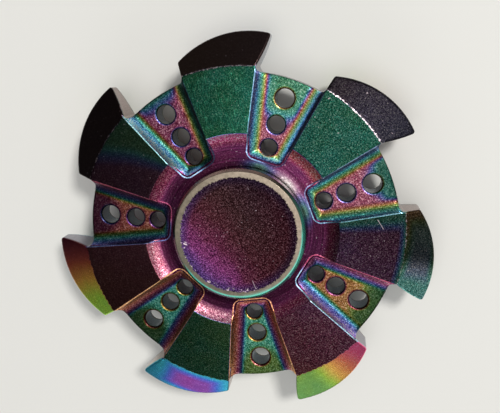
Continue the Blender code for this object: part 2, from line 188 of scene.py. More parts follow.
# Brightness of the top and the foot of the valley's outer wall, of its bottom and of the hub beside the cap,
# and paleness of its wall. The brightness is painted light and shade: painted highlights where the wall faces
# the key light, and the cap's painted shadow on the hub on the far side. The paleness is a painted pink-white
# highlight on the wall.
VALLEYS = (
    (2.20, 1.90, 0.24, 0.25, 0.0),
    (0.30, 0.20, 0.11, 0.12, 0.0),
    (0.60, 0.36, 0.08, 0.05, 0.0),
    (1.05, 0.80, 0.06, 0.03, 0.22),
    (1.45, 1.50, 0.09, 0.02, 0.16),
    (0.80, 0.75, 0.10, 0.04, 0.0),
    (4.20, 1.00, 0.15, 0.08, 0.0),
)
# Wear along each blade's crease, painted together with the highlight that the crease catches, so it is
# strongest on the blades towards the key light.
CREASE_WEAR_AND_HIGHLIGHT = (0.85, 0.40, 0.10, 0.05, 0.05, 0.20, 0.50)
# The painted highlight on the hub beside the cap, clockwise from the first pocket, and its width, in radians.
HUB_HIGHLIGHT_AT = 0.45
HUB_HIGHLIGHT_WIDTH = 0.20


# ---------------------------------------------------------------- plane curves, as complex numbers
def circle_centre(a, b, c):
    """Centre of the circle through three points."""
    w = (c - a) / (b - a)
    return (b - a) * (w - abs(w) ** 2) / (2j * w.imag) + a


def arc(a, b, c, segments):
    """Points of the circle from the first of three points through the second to the third."""
    centre = circle_centre(a, b, c)
    sweep = np.angle((c - centre) / (a - centre))
    return [centre + (a - centre) * np.exp(1j * sweep * k / segments) for k in range(segments + 1)]


def corner_round(before, corner, after, radius, segments):
    """The round that replaces a corner between two straight lines."""
    u = (before - corner) / abs(before - corner)
    v = (after - corner) / abs(after - corner)
    half = abs(np.angle(u / v)) / 2.0
    centre = corner + (u + v) / abs(u + v) * radius / math.sin(half)
    first = corner + u * radius / math.tan(half) - centre
    last = corner + v * radius / math.tan(half) - centre
    sweep = np.angle(last / first)
    return [centre + first * np.exp(1j * sweep * k / segments) for k in range(segments + 1)]


def at(radius, degrees):
    """A point in a pocket's frame, by its radius and degrees clockwise from the pocket."""
    return radius * np.exp(1j * math.radians(degrees))


def half_width(along):
    """Half the pocket's width at a distance from the axis."""
    return POCKET_HALF_WIDTH + POCKET_TAPER * (along - PANEL_AXIAL)


def placed(points, sector):
    """From a pocket's frame, out along it and clockwise across it, to the model's frame."""
    return np.conj(np.asarray(points)) * np.exp(1j * (math.pi / 2.0 - PITCH * sector))


def sector_outline():
    """One seventh of the body's outline: the web beyond a pocket, both feet of the notch, and a blade."""
    slope = math.atan(POCKET_TAPER)
    centre_r = WEB_R + FOOT_ROUND
    along = centre_r
    for _ in range(4):
        across = half_width(along) - FOOT_ROUND / math.cos(slope)
        along = math.sqrt(centre_r**2 - across**2)
    foot_angle = math.degrees(math.atan2(across, along))
    centre = complex(along, across)
    side_touch = centre + FOOT_ROUND * complex(-math.sin(slope), math.cos(slope))
    web_touch = at(WEB_R, foot_angle)
    middle = (side_touch + web_touch) / 2.0 - centre
    right_foot = arc(web_touch, centre + FOOT_ROUND * middle / abs(middle), side_touch, 8)
    left_foot = [p.conjugate() for p in reversed(right_foot)]
    web = [at(WEB_R, foot_angle * k) for k in np.linspace(-1.0, 1.0, 26)[1:-1]]
    heel, tip = at(*BLADE_HEEL), at(*BLADE_TIP)
    back = arc(heel, at(*BLADE_BACK), tip, 44)
    heel_round = corner_round(side_touch, heel, back[1], HEEL_ROUND, 8)
    hook_foot = left_foot[0] * np.exp(1j * PITCH)
    line = (hook_foot - tip) / abs(hook_foot - tip)
    hook = arc(tip, (tip + hook_foot) / 2.0 - 1j * line * HOOK_BOW, hook_foot, 16)
    tip_round = corner_round(back[-2], tip, hook[1], TIP_ROUND, 8)
    keep_back = [p for p in back[1:-1] if abs(p - heel) > 0.45 and abs(p - tip) > 0.6]
    keep_hook = [p for p in hook[1:-1] if abs(p - tip) > 0.6]
    return left_foot + web + right_foot + heel_round + keep_back + tip_round + keep_hook


def filled(points, step, closed=True):
    """The same line with points added, so that no piece is longer than step."""
    points = list(points)
    ends = points[1:] + points[:1] if closed else points[1:]
    made = []
    for a, b in zip(points, ends):
        count = max(1, math.ceil(abs(b - a) / step))
        made += [a + (b - a) * k / count for k in range(count)]
    return np.array(made if closed else made + [points[-1]])


def offset(loop, distance):
    """The closed clockwise loop moved inwards."""
    tangent = np.roll(loop, -1) - np.roll(loop, 1)
    return loop - 1j * tangent / abs(tangent) * distance


def pocket_line(inset):
    """The pocket's plan outline moved inwards, open at its outer end."""
    slope = math.atan(POCKET_TAPER)
    corner = max(POCKET_CORNER - inset, 0.12)
    spread = inset / math.cos(slope)
    along = POCKET_INNER_R + inset + corner
    across = half_width(along) - spread - corner / math.cos(slope)
    bend = [
        complex(along, across) + corner * complex(-math.cos(t), math.sin(t))
        for t in np.linspace(0.0, math.pi / 2.0 - slope, 7)
    ]
    right = bend + [complex(POCKET_OUTER_R, half_width(POCKET_OUTER_R) - spread)]
    return filled([p.conjugate() for p in reversed(right)] + right, 0.5, closed=False)


# ---------------------------------------------------------------- the body's upper surface as a height
def smooth_min(a, b, k):
    """The lower of two heights, with the joint rounded over k."""
    h = np.maximum(k - abs(a - b), 0.0) / k
    return np.minimum(a, b) - h * h * k / 4.0


def smooth_step(low, high, x):
    t = np.clip((x - low) / (high - low), 0.0, 1.0)
    return t * t * (3.0 - 2.0 * t)


def turned_height(r):
    """Height of the hub, the valley with its cove, the panels and the bevels."""
    low, high = complex(VALLEY_R, VALLEY_Z), complex(PANEL_R, PANEL_Z)
    across, up = VALLEY_COVE
    middle = complex(low.real + across * (high.real - low.real), low.imag + up * (high.imag - low.imag))
    centre = circle_centre(low, middle, high)
    radius = abs(low - centre)
    cove = centre.imag - np.sqrt(np.maximum(radius**2 - (r - centre.real) ** 2, 0.0))
    cove = np.where(r > high.real + 0.3, FAR, cove)
    hub = HUB_Z - (HUB_Z - VALLEY_Z) * smooth_step(HUB_R, VALLEY_R, r)
    inner = np.where(r < VALLEY_R, hub, cove)
    panel = PANEL_Z + (CREASE_Z - PANEL_Z) * (r - PANEL_R) / (CREASE_R - PANEL_R)
    bevel = CREASE_Z + (EDGE_Z - CREASE_Z) * (r - CREASE_R) / (EDGE_R - CREASE_R)
    return smooth_min(inner, smooth_min(panel, bevel, CREASE_SOFT), PANEL_SOFT)


def pocket_frame(xy):
    """Pocket number, and the place along and across the nearest pocket."""
    clockwise = np.arctan2(xy.real, xy.imag)
    number = np.round(clockwise / PITCH)
    angle = clockwise - number * PITCH
    return number.astype(int) % BLADES, abs(xy) * np.cos(angle), abs(xy) * np.sin(angle)


def pocket_depth_in(along, across):
    """How far inside the pocket's plan outline a point is, negative outside."""
    side = (half_width(along) - abs(across)) * math.cos(math.atan(POCKET_TAPER))
    end = along - POCKET_INNER_R
    qx, qy = POCKET_CORNER - side, POCKET_CORNER - end
    outside = np.hypot(np.maximum(qx, 0.0), np.maximum(qy, 0.0)) + np.minimum(np.maximum(qx, qy), 0.0)
    return POCKET_CORNER - outside


def pocket_height(inside):
    """Height of the pocket's floor and coved walls."""
    share = np.clip(inside / POCKET_COVE, 0.0, 1.0)
    rise = POCKET_COVE_RISE * (1.0 - np.sqrt(1.0 - (1.0 - share) ** 2))
    return POCKET_FLOOR_Z + rise + np.maximum(-inside, 0.0) * 2.5


def edge_drop(distance, radius):
    """How far a rounded edge has fallen at a distance from it."""
    t = np.clip(radius - distance, 0.0, radius)
    return radius - np.sqrt(np.maximum(radius**2 - t**2, 0.0))


def inside_loop(points, loop):
    """True where a point lies inside the closed line."""
    inside = np.zeros(len(points), bool)
    px, py = points.real, points.imag
    for a, b in zip(loop, np.roll(loop, -1)):
        if a.imag == b.imag:
            continue
        crosses = (a.imag > py) != (b.imag > py)
        inside ^= crosses & (px < (b.real - a.real) * (py - a.imag) / (b.imag - a.imag) + a.real)
    return inside


def plan_lines(outline):
    """Points of the body's plan, the feature edges among them, and the holes as centre and radius."""
    points, edges, holes = [], [], []

    def add_line(line, closed):
        first = len(points)
        points.extend(line)
        edges.extend((first + k, first + k + 1) for k in range(len(line) - 1))
        if closed:
            edges.append((first + len(line) - 1, first))

    add_line(outline, True)
    for share in SOFT_SHARES:
        points.extend(offset(outline, OUTLINE_SOFT * share))
    for radius, steps in ((BORE_R, BORE_STEPS), (PANEL_R, RING_STEPS), (CREASE_R, RING_STEPS)):
        add_line(radius * np.exp(1j * np.arange(steps) * math.tau / steps), True)
    for number, radius in enumerate(LOOSE_RINGS):
        steps = RING_STEPS if radius > HUB_RINGS_TO else HUB_RING_STEPS
        points.extend(radius * np.exp(1j * (np.arange(steps) + 0.5 * (number % 2)) * math.tau / steps))
    circle = np.exp(1j * np.arange(HOLE_STEPS) * math.tau / HOLE_STEPS)
    for sector in range(BLADES):
        for inset in POCKET_CONTOURS:
            line = pocket_line(inset)
            add_line(placed(line[abs(line) < POCKET_CONTOURS_TO], sector), False)
        for distance, radius in POCKET_HOLES:
            centre = placed([complex(distance, 0.0)], sector)[0]
            holes.append((centre, radius))
            add_line(centre + radius * circle, True)
            for share in SOFT_SHARES:
                points.extend(centre + (radius + HOLE_SOFT * share) * circle)
    return np.array(points), edges, holes


def plan_mesh():
    """Triangles of the body's plan, with every feature line among their edges."""
    outline = filled(np.concatenate([placed(sector_outline(), k) for k in range(BLADES)]), 0.5)
    outline = offset(outline, OUTLINE_INSET)
    points, edges, holes = plan_lines(outline)

    # Loose points outside the body or in a hole would only spoil the triangles.
    linked = np.zeros(len(points), bool)
    linked[np.array(edges).ravel()] = True
    keep = linked | inside_loop(points, outline)
    for centre, radius in holes:
        keep &= linked | (abs(points - centre) > radius + 0.01)
    order = np.cumsum(keep) - 1
    edges = [(order[a], order[b]) for a, b in edges]
    flat = [Vector((p.real, p.imag)) for p in points[keep]]
    made = delaunay_2d_cdt(flat, edges, [], 0, 1e-5, False)
    verts = np.array([complex(v.x, v.y) for v in made[0]])
    faces = np.array([f for f in made[2] if len(f) == 3])
    middle = verts[faces].mean(axis=1)
    good = inside_loop(middle, outline) & (abs(middle) > BORE_R)
    for centre, radius in holes:
        good &= abs(middle - centre) > radius * math.cos(math.pi / HOLE_STEPS)
    faces = faces[good]
    used = np.unique(faces)
    renumber = np.full(len(verts), -1)
    renumber[used] = np.arange(len(used))
    return verts[used], renumber[faces], outline, holes


# ---------------------------------------------------------------- coating values at points of the body
def lerp(a, b, share):
    return a * (1 - share) + b * share


def columns(rows, number):
    """The columns of a table, each holding for every point the value from that point's row."""
    return np.array(rows)[number].T


def around(rows, clockwise):
    """The columns of a table given at the middle of each blade, passing smoothly from one to the next."""
    place = clockwise / PITCH - 0.5
    first = np.floor(place).astype(int)
    share = smooth_step(0.15, 0.85, place - first)
    return lerp(columns(rows, first % BLADES), columns(rows, (first + 1) % BLADES), share)


def panel_coating(blade, share, r):
    """Film, brightness, paleness and grain of the panels; the brightness is painted light and shade."""
    film_before, film_after, film_out, glow_before, glow_after, pale, grain = columns(PANELS, blade)
    out = (r - PANEL_R) / (CREASE_R - PANEL_R)
    side = smooth_step(0.25, 0.75, share)
    glow = lerp(glow_before, glow_after, side)
    # The second blade keeps its green only along its outer and its counter-clockwise edge, the sixth only at
    # one corner.
    green_edge = np.maximum(smooth_step(0.88, 1.0, out), 1 - smooth_step(0.28, 0.40, share))
    side = np.where(blade == 1, 1 - green_edge, side)
    side = np.where(blade == 5, smooth_step(0.56, 0.80, share + 0.25 * out), side)
    return lerp(film_before, film_after, side) + film_out * out, glow, pale, grain


def bevel_coating(blade, share, r):
    """Film, brightness, paleness and grain of the bevels; the brightness is painted light and shade."""
    film_before, film_after, film_border, glow_before, glow_after, pale = columns(BEVELS, blade)
    out = np.clip((r - CREASE_R) / (BLADE_BACK[0] - CREASE_R), 0.0, 1.0)
    rim = np.maximum(smooth_step(0.78, 1.05, out), 1 - smooth_step(0.0, 0.34, out))
    ends = np.maximum(1 - smooth_step(0.26, 0.40, share), smooth_step(0.60, 0.74, share))
    border = np.maximum(rim, ends)
    side = smooth_step(0.26, np.where(blade == 2, 0.68, 0.86), share)
    film = lerp(film_before, film_after, side) + film_border * border - 0.03 * out * (blade == 2)
    # The second bevel's painted light comes on all at once, and it pales less along its borders.
    glow = lerp(glow_before, glow_after, np.where(blade == 1, smooth_step(0.54, 0.68, share), side))
    pale = pale - 0.5 * (blade == 1) * border
    # The coating is coarse on the first two bevels and smooth on the others.
    return film, glow, pale, np.where(blade < 2, 0.95, 0.22)


def valley_coating(blade, clockwise, r):
    """Film, brightness, paleness and grain of the valley, and of the hub beside the cap; the brightness and
    some paleness are painted light and shade.
    """
    top_glow, foot_glow, bottom_glow, hub_glow, wall_pale = around(VALLEYS, clockwise)
    cove = smooth_step(VALLEY_R + 0.5, VALLEY_R + 1.5, r)
    hub = 1 - smooth_step(HUB_R - 0.1, HUB_R + 0.9, r)
    film = 0.36 - 0.06 * cove - 0.06 * cove * (blade == 0)
    glow = lerp(foot_glow, top_glow, smooth_step(13.3, 14.2, r))
    glow = lerp(bottom_glow, glow, cove)
    glow = lerp(glow, hub_glow, hub)
    pale = 0.06 + wall_pale * cove
    # Beside the cap a highlight is painted on the hub in one streak, with thin green film at both ends of it.
    turn = (clockwise - HUB_HIGHLIGHT_AT + math.pi) % math.tau - math.pi
    beside = 1 - smooth_step(10.0, 11.2, r)
    hub_highlight = np.exp(-((turn / HUB_HIGHLIGHT_WIDTH) ** 2)) * beside
    flanks = np.exp(-(((abs(turn) - 2.4 * HUB_HIGHLIGHT_WIDTH) / HUB_HIGHLIGHT_WIDTH) ** 2)) * beside
    film = film + 0.5 * flanks
    glow = glow * (1 + 0.4 * flanks) + 1.1 * hub_highlight
    pale = np.clip(pale + 0.45 * flanks + 0.9 * hub_highlight, 0.0, 1.0)
    return film, glow, pale, 0.4 + 0.5 * cove


def pocket_coating(walls, floors, along, inset, hole_gap, hole_side):
    """Film, brightness and paleness of a pocket's walls and floor; the brightness is painted light and shade.
    """
    rim_film, foot_film, late, rim_glow, middle_glow, foot_glow = walls
    inner_film, outer_film, change_at, inner_glow, outer_glow, pale = floors
    down = np.clip((inset - 0.1) / 1.75, 0.0, 1.0) ** late
    reach = along + 0.5 * np.minimum(inset, 3.0) - 1.0
    out = smooth_step(change_at - 1.5, change_at + 1.5, reach)
    film = lerp(rim_film, foot_film, down)
    film = lerp(film, lerp(inner_film, outer_film, out), smooth_step(1.5, 2.3, inset))
    glow = lerp(rim_glow, middle_glow, smooth_step(0.25, 0.9, inset))
    glow = lerp(glow, foot_glow, smooth_step(0.9, 1.6, inset))
    glow = lerp(glow, lerp(inner_glow, outer_glow, out), smooth_step(1.5, 2.1, inset))
    # The round edge of each hole gets painted shade, but for a painted highlight crescent on one side.
    ring = 1 - smooth_step(0.10, 0.34, hole_gap)
    glow = glow * lerp(1.0, 0.35 + 3.0 * np.clip(hole_side, 0.0, 1.0) ** 3, ring)
    return film + 0.3 * ring, glow, pale


def coating(xy, hole_gap, hole_side):
    """Film, brightness as painted light and shade, grain, crease wear and highlight, paleness and distance
    from the crease, at points of the plan.
    """
    r = abs(xy)
    clockwise = np.arctan2(xy.real, xy.imag) % math.tau
    blade = np.floor(clockwise / PITCH).astype(int) % BLADES
    share = (clockwise / PITCH) % 1.0
    number, along, across = pocket_frame(xy)
    inset = pocket_depth_in(along, across)

    panel = panel_coating(blade, share, r)
    bevel = bevel_coating(blade, share, r)
    valley = valley_coating(blade, clockwise, r)
    on_bevel = (r > CREASE_R).astype(float)
    on_valley = (r < PANEL_R - 0.03).astype(float)
    on_panel = 1 - on_bevel - on_valley
    turned = [a * on_panel + b * on_bevel + c * on_valley for a, b, c in zip(panel, bevel, valley)]
    film, glow, pale, grain = turned

    walls = lerp(columns(WALLS, 2 * number), columns(WALLS, 2 * number + 1), smooth_step(-0.8, 0.8, across))
    pocket = pocket_coating(walls[3:], columns(FLOORS, number), along, inset, hole_gap, hole_side)
    pocket_film, pocket_glow, pocket_pale = pocket
    in_pocket = smooth_step(-0.08, 0.08, turned_height(r) - pocket_height(inset))
    film = np.where(in_pocket > 0.5, pocket_film, film)
    glow = lerp(glow, pocket_glow, in_pocket)
    pale = lerp(pale, pocket_pale, in_pocket)
    grain = lerp(grain, 0.9, in_pocket)

    # The line along each pocket's rim carries its painted highlight and shade.
    line_film, line_glow, line_pale = walls[:3]
    on_line = (1 - smooth_step(0.04, 0.12, abs(inset))) * (r > 10.5) * (r < CREASE_R + 0.2)
    film = np.where(on_line > 0.4, line_film, film)
    glow = lerp(glow, line_glow, on_line)
    pale = lerp(pale, line_pale, on_line)
    grain = lerp(grain, 0.4, on_line)

    on_blade = (inset < -0.02) & (r < 28.0)
    wear_and_highlight = np.array(CREASE_WEAR_AND_HIGHLIGHT)[blade] * on_blade
    crease = abs(r - CREASE_R) + np.where(on_blade, 0.0, 3.0)
    return dict(zip(COATING_VALUES, (film, glow, grain, wear_and_highlight, pale, crease)))


def build_mesh(name, xyz, faces, attributes, material):
    mesh = bpy.data.meshes.new(name)
    mesh.from_pydata((xyz * MM).tolist(), [], [list(f) for f in faces])
    for key, values in attributes.items():
        mesh.attributes.new(key, "FLOAT", "POINT").data.foreach_set("value", np.asarray(values, np.float32))
    mesh.materials.append(material)
    mesh.validate()
    mesh.shade_smooth()
    obj = bpy.data.objects.new(name, mesh)
    bpy.context.scene.collection.objects.link(obj)
    return obj


def outline_distance(xy, outline):
    """How far each point near the body's edge lies from it."""
    dense = filled(outline, 0.04)
    tree = kdtree.KDTree(len(dense))
    for k, p in enumerate(dense):
        tree.insert((p.real, p.imag, 0.0), k)
    tree.balance()
    distance = np.full(len(xy), FAR)
    for k in np.nonzero(abs(xy) > WEB_R - 1.0)[0]:
        distance[k] = tree.find((xy[k].real, xy[k].imag, 0.0))[2]
    distance[distance < 0.012] = 0.0
    return distance


def hole_distance(xy, holes):
    """How far each point lies from the nearest hole's edge, and how far towards that hole's lit side."""
    hole_gap, hole_side = np.full(len(xy), FAR), np.zeros(len(xy))
    for centre, radius in holes:
        gap = abs(xy - centre) - radius
        hole_side = np.where(gap < hole_gap, ((xy - centre) / LIT_SIDE).real / abs(xy - centre), hole_side)
        hole_gap = np.minimum(hole_gap, gap)
    hole_gap[abs(hole_gap) < 0.02] = 0.0
    return hole_gap, hole_side


def rim_edges(faces):
    """The edges, with their direction, that only one triangle has."""
    edges = dict.fromkeys(edge for a, b, c in faces for edge in ((a, b), (b, c), (c, a)))
    return [edge for edge in edges if (edge[1], edge[0]) not in edges]


def wall_coating(rim_xy, in_hole):
    """The side walls are pale, with a trace of film that differs from hole to hole and round the body."""
    hole_film = 0.45 + 0.25 * (abs(rim_xy) > 14.8)
    outer_film = 0.9 + 0.35 * np.sin(3.0 * np.angle(rim_xy))
    film, glow = np.where(in_hole, hole_film, outer_film), np.where(in_hole, 0.80, 0.62)
    values = (film, glow, 0.15, 0.0, np.where(in_hole, 0.75, 0.78), 3.0)
    each = np.ones(len(rim_xy))
    return {name: np.tile(value * each, len(WALL_LEVELS)) for name, value in zip(COATING_VALUES, values)}


def body_piece(material):
    xy, faces, outline, holes = plan_mesh()
    r = abs(xy)
    along, across = pocket_frame(xy)[1:]
    z = smooth_min(turned_height(r), pocket_height(pocket_depth_in(along, across)), RIM_SOFT)
    hole_gap, hole_side = hole_distance(xy, holes)
    z -= edge_drop(outline_distance(xy, outline), OUTLINE_SOFT)
    z -= edge_drop(hole_gap, HOLE_SOFT)
    z -= edge_drop(np.maximum(r - BORE_R, 0.0), BORE_SOFT)

    # Walls join the rims of both faces.
    count = len(xy)
    rim = rim_edges(faces)
    rim_verts = sorted({v for edge in rim for v in edge})
    position = {v: k for k, v in enumerate(rim_verts)}
    top = np.stack([xy.real, xy.imag, z], 1)
    walls = [top[rim_verts] * (1.0, 1.0, level) for level in WALL_LEVELS]

    def wall_vertex(v, level):
        if level < 0:
            return v
        if level >= len(WALL_LEVELS):
            return count + v
        return 2 * count + level * len(rim_verts) + position[v]

    all_faces = [tuple(f) for f in faces]
    all_faces += [(count + c, count + b, count + a) for a, b, c in faces]
    for a, b in rim:
        for level in range(-1, len(WALL_LEVELS)):
            corners = ((b, level), (a, level), (a, level + 1), (b, level + 1))
            all_faces.append(tuple(wall_vertex(v, row) for v, row in corners))

    # The underside repeats the top with its colours, painted light and shade among them, moved round by three
    # blades.
    coatings = (
        coating(xy, hole_gap, hole_side),
        coating(xy * np.exp(3j * PITCH), hole_gap, hole_side),
        wall_coating(xy[rim_verts], hole_gap[rim_verts] < 0.05),
    )
    attributes = {name: np.concatenate([part[name] for part in coatings]) for name in COATING_VALUES}
    xyz = np.concatenate([top, top * (1.0, 1.0, -1.0)] + walls)
    return build_mesh("spinner_body_fine", xyz, all_faces, attributes, material)


# ---------------------------------------------------------------- material helpers
def linear(colour):
    """An opaque linear colour from sRGB values of 0 to 255, all above 10."""
    return tuple(((c / 255.0 + 0.055) / 1.055) ** 2.4 for c in colour) + (1.0,)


class Nodes:
    """A small hand for wiring a material."""

    def __init__(self, name):
        self.material = bpy.data.materials.new(name)
        self.material.use_nodes = True
        self.tree = self.material.node_tree
        self.shader = self.tree.nodes["Principled BSDF"]

    def new(self, kind, **settings):
        node = self.tree.nodes.new(kind)
        for key, value in settings.items():
            setattr(node, key, value)
        return node

    def link(self, value, socket):
        """Wire an output to a socket, or set the socket to a constant."""
        if isinstance(value, (int, float, tuple)):
            socket.default_value = value
        else:
            self.tree.links.new(value, socket)

    def math(self, operation, a, b=0.0, clamp=False):
        node = self.new("ShaderNodeMath", operation=operation, use_clamp=clamp)
        self.link(a, node.inputs[0])
        self.link(b, node.inputs[1])
        return node.outputs[0]

    def vector(self, operation, a, b=None, scale=None):
        node = self.new("ShaderNodeVectorMath", operation=operation)
        self.link(a, node.inputs[0])
        if b is not None:
            self.link(b, node.inputs[1])
        if scale is not None:
            self.link(scale, node.inputs["Scale"])
        return node.outputs["Value"] if operation in ("LENGTH", "DOT_PRODUCT") else node.outputs[0]

    def attribute(self, name):
        return self.new("ShaderNodeAttribute", attribute_name=name).outputs["Fac"]

    def position(self):
        """The point on the object in millimetres."""
        return self.vector("SCALE", self.new("ShaderNodeTexCoord").outputs["Object"], scale=1000.0)

    def split(self, p):
        node = self.new("ShaderNodeSeparateXYZ")
        self.link(p, node.inputs[0])
        return node.outputs

    def plane(self, x, y):
        """A place in a plane, where noise can be stretched by the scale of x and y."""
        node = self.new("ShaderNodeCombineXYZ")
        self.link(x, node.inputs[0])
        self.link(y, node.inputs[1])
        return node.outputs[0]

    def axis_distance(self, p):
        return self.vector("LENGTH", self.vector("MULTIPLY", p, (1.0, 1.0, 0.0)))

    def on_top(self, p):
        """1 on the upper face and 0 on the lower."""
        return self.span(self.vector("DOT_PRODUCT", p, (0.0, 0.0, 1.0)), 0.0, 1.0)

    def noise(self, vector, scale, detail, roughness=0.5):
        node = self.new("ShaderNodeTexNoise")
        self.link(vector, node.inputs["Vector"])
        self.link(scale, node.inputs["Scale"])
        self.link(detail, node.inputs["Detail"])
        self.link(roughness, node.inputs["Roughness"])
        return node.outputs["Fac"]

    def span(self, value, low, high, to_low=0.0, to_high=1.0, smooth=False):
        node = self.new("ShaderNodeMapRange", interpolation_type="SMOOTHSTEP" if smooth else "LINEAR")
        for item, socket in zip((value, low, high, to_low, to_high), node.inputs):
            self.link(item, socket)
        return node.outputs[0]

    def blend(self, factor, a, b):
        """The number between a and b."""
        return self.span(factor, 0.0, 1.0, a, b)

    def mix(self, factor, a, b):
        """The colour between a and b."""
        node = self.new("ShaderNodeMix", data_type="RGBA")
        self.link(factor, node.inputs["Factor"])
        self.link(a, node.inputs["A"])
        self.link(b, node.inputs["B"])
        return node.outputs["Result"]

    def ramp(self, value, stops):
        node = self.new("ShaderNodeValToRGB")
        elements = node.color_ramp.elements
        while len(elements) > 1:
            elements.remove(elements[-1])
        elements[0].position, elements[0].color = stops[0]
        for place, colour in stops[1:]:
            elements.new(place).color = colour
        self.link(value, node.inputs["Fac"])
        return node.outputs["Color"]

    def bump(self, height, distance, strength):
        node = self.new("ShaderNodeBump")
        node.inputs["Strength"].default_value = strength
        node.inputs["Distance"].default_value = distance
        self.link(height, node.inputs["Height"])
        self.link(node.outputs["Normal"], self.shader.inputs["Normal"])

    def finish(self, colour, rough, metallic=1.0):
        """Give the shader its colour and roughness, and return the material."""
        self.link(colour, self.shader.inputs["Base Color"])
        self.link(rough, self.shader.inputs["Roughness"])
        self.shader.inputs["Metallic"].default_value = metallic
        return self.material

    def brushed(self, p, direction, near, far, half_width):
        """Short streaks along one direction over a patch of the top face, from 0 to 1."""
        across = (-direction[1], direction[0], 0.0)
        travel, off = self.vector("DOT_PRODUCT", p, direction), self.vector("DOT_PRODUCT", p, across)
        stretched = self.plane(self.math("MULTIPLY", travel, 0.9), self.math("MULTIPLY", off, 4.2))
        streaks = self.span(self.noise(stretched, 1.0, 2.0), 0.50, 0.70)
        side = self.span(self.math("ABSOLUTE", off), half_width, half_width - 1.5)
        patch = self.math("MULTIPLY", side, self.span(travel, near, near + 1.0))
        patch = self.math("MULTIPLY", patch, self.span(travel, far, far - 1.0))
        return self.math("MULTIPLY", self.math("MULTIPLY", streaks, patch), self.on_top(p))

    def scratch(self, p, start, end, width):
        """One straight scratch on the top face between two points, in millimetres."""
        start, end = Vector(start + (0.0,)), Vector(end + (0.0,))
        length = (end - start).length
        along_it = (end - start) / length
        flat = self.vector("MULTIPLY", self.vector("SUBTRACT", p, tuple(start)), (1.0, 1.0, 0.0))
        travel = self.vector("DOT_PRODUCT", flat, tuple(along_it))
        off = self.math("ABSOLUTE", self.vector("DOT_PRODUCT", flat, (-along_it.y, along_it.x, 0.0)))
        inside = self.math("MULTIPLY", self.span(travel, 0.0, 0.15), self.span(travel, length, length - 0.2))
        inside = self.math("MULTIPLY", inside, self.on_top(p))
        return self.math("MULTIPLY", inside, self.span(off, width, width * 0.3))


RAINBOW = [
    (0.00, linear((150, 190, 60))),
    (0.09, linear((214, 160, 66))),
    (0.18, linear((204, 98, 66))),
    (0.28, linear((176, 48, 92))),
    (0.40, linear((150, 48, 132))),
    (0.51, linear((112, 84, 190))),
    (0.61, linear((66, 104, 200))),
    (0.71, linear((52, 158, 206))),
    (0.80, linear((62, 204, 188))),
    (0.89, linear((56, 168, 108))),
    (1.00, linear((150, 190, 60))),
]
# Pale film, also the colour of painted highlights and glints.
PALE_FILM_AND_HIGHLIGHT = linear((196, 192, 184))
# Bare metal, also the colour of the painted highlight along the creases.
BARE_METAL_AND_HIGHLIGHT = linear((204, 186, 192))

# Seen on single blades of the top face: the brushed one (direction, from, to and half width in millimetres)
# and the scratched one (both ends and the width).
BRUSHED_BLADE = ((-0.515, 0.857, 0.0), 14.4, 24.2, 6.5)
BLADE_SCRATCH = ((18.25, 8.31), (19.66, 7.15), 0.06)
# Grain in noise cells per millimetre, and depth of each surface's relief.
CAST_GRAIN = 5.2
CAP_GRAIN = 5.4
CAST_RELIEF = 0.03 * MM
CAP_RELIEF = 0.02 * MM
STEEL_RELIEF = 0.004 * MM


def film_colour(n, p, film, grain, pale, fine, speck):
    """Colour of the film by its thickness, paler in places, some of that a painted highlight, and with the
    grain's painted glints.
    """
    drift = n.math("MULTIPLY", n.math("SUBTRACT", n.noise(p, 0.22, 2.0), 0.5), 0.10)
    jitter = n.math("MULTIPLY", n.math("SUBTRACT", fine, 0.5), n.math("MULTIPLY", grain, 0.08))
    phase = n.math("FRACT", n.math("ADD", n.math("ADD", film, drift), n.math("ADD", jitter, 4.0)))
    glint = n.math("MULTIPLY", n.span(speck, 0.52, 0.68), n.math("MULTIPLY", grain, 0.55))
    paleness = n.math("MULTIPLY", pale, n.span(grain, 0.0, 1.0, 1.0, 0.7))
    return n.mix(n.math("ADD", paleness, glint, clamp=True), n.ramp(phase, RAINBOW), PALE_FILM_AND_HIGHLIGHT)


def cast_level(n, p, grain, speck):
    """Brightness of the grain's spots with painted sparkle, and of the turned lines round the valley and the
    hub.
    """
    spots = n.math("POWER", n.span(speck, 0.32, 0.68, 0.25, 1.60), 2.2)
    sparkle = n.span(n.noise(p, 5.5, 1.0), 0.65, 0.72, 0.0, 2.0)
    spots = n.blend(grain, 1.0, n.math("ADD", spots, sparkle))
    x, y = n.split(p)[:2]
    radius = n.axis_distance(p)
    polar = n.plane(n.math("MULTIPLY", radius, 4.5), n.math("MULTIPLY", n.math("ARCTAN2", y, x), 1.6))
    lines = n.span(n.noise(polar, 1.0, 3.0, 0.6), 0.32, 0.68, 0.45, 1.6)
    return spots, n.blend(n.span(radius, 12.2, 13.0, 1.0, 0.15), 1.0, lines)


def bare_metal_and_crease_highlight(n, p, wear_and_highlight, crease):
    """Where metal shows, with painted highlight: along the creases, worn and lit, in stray nicks and in the
    scratch.
    """
    ragged = n.math("SUBTRACT", n.noise(p, 2.4, 4.0, 0.8), 0.5)
    reach = n.math("ADD", n.math("MULTIPLY", wear_and_highlight, 0.07), n.math("MULTIPLY", ragged, 0.95))
    crease_wear_and_highlight = n.span(n.math("SUBTRACT", reach, crease), -0.03, 0.09, smooth=True)
    crease_wear_and_highlight = n.math("MULTIPLY", crease_wear_and_highlight, n.span(wear_and_highlight, 0.0, 0.8), clamp=True)
    nick = n.span(n.noise(p, 2.6, 1.0), 0.75, 0.775, 0.0, 0.35)
    bare = n.math("MAXIMUM", crease_wear_and_highlight, n.math("MULTIPLY", nick, n.span(wear_and_highlight, 0.0, 0.7, 0.1, 1.0)))
    return n.math("MAXIMUM", bare, n.math("MULTIPLY", n.scratch(p, *BLADE_SCRATCH), 0.6))


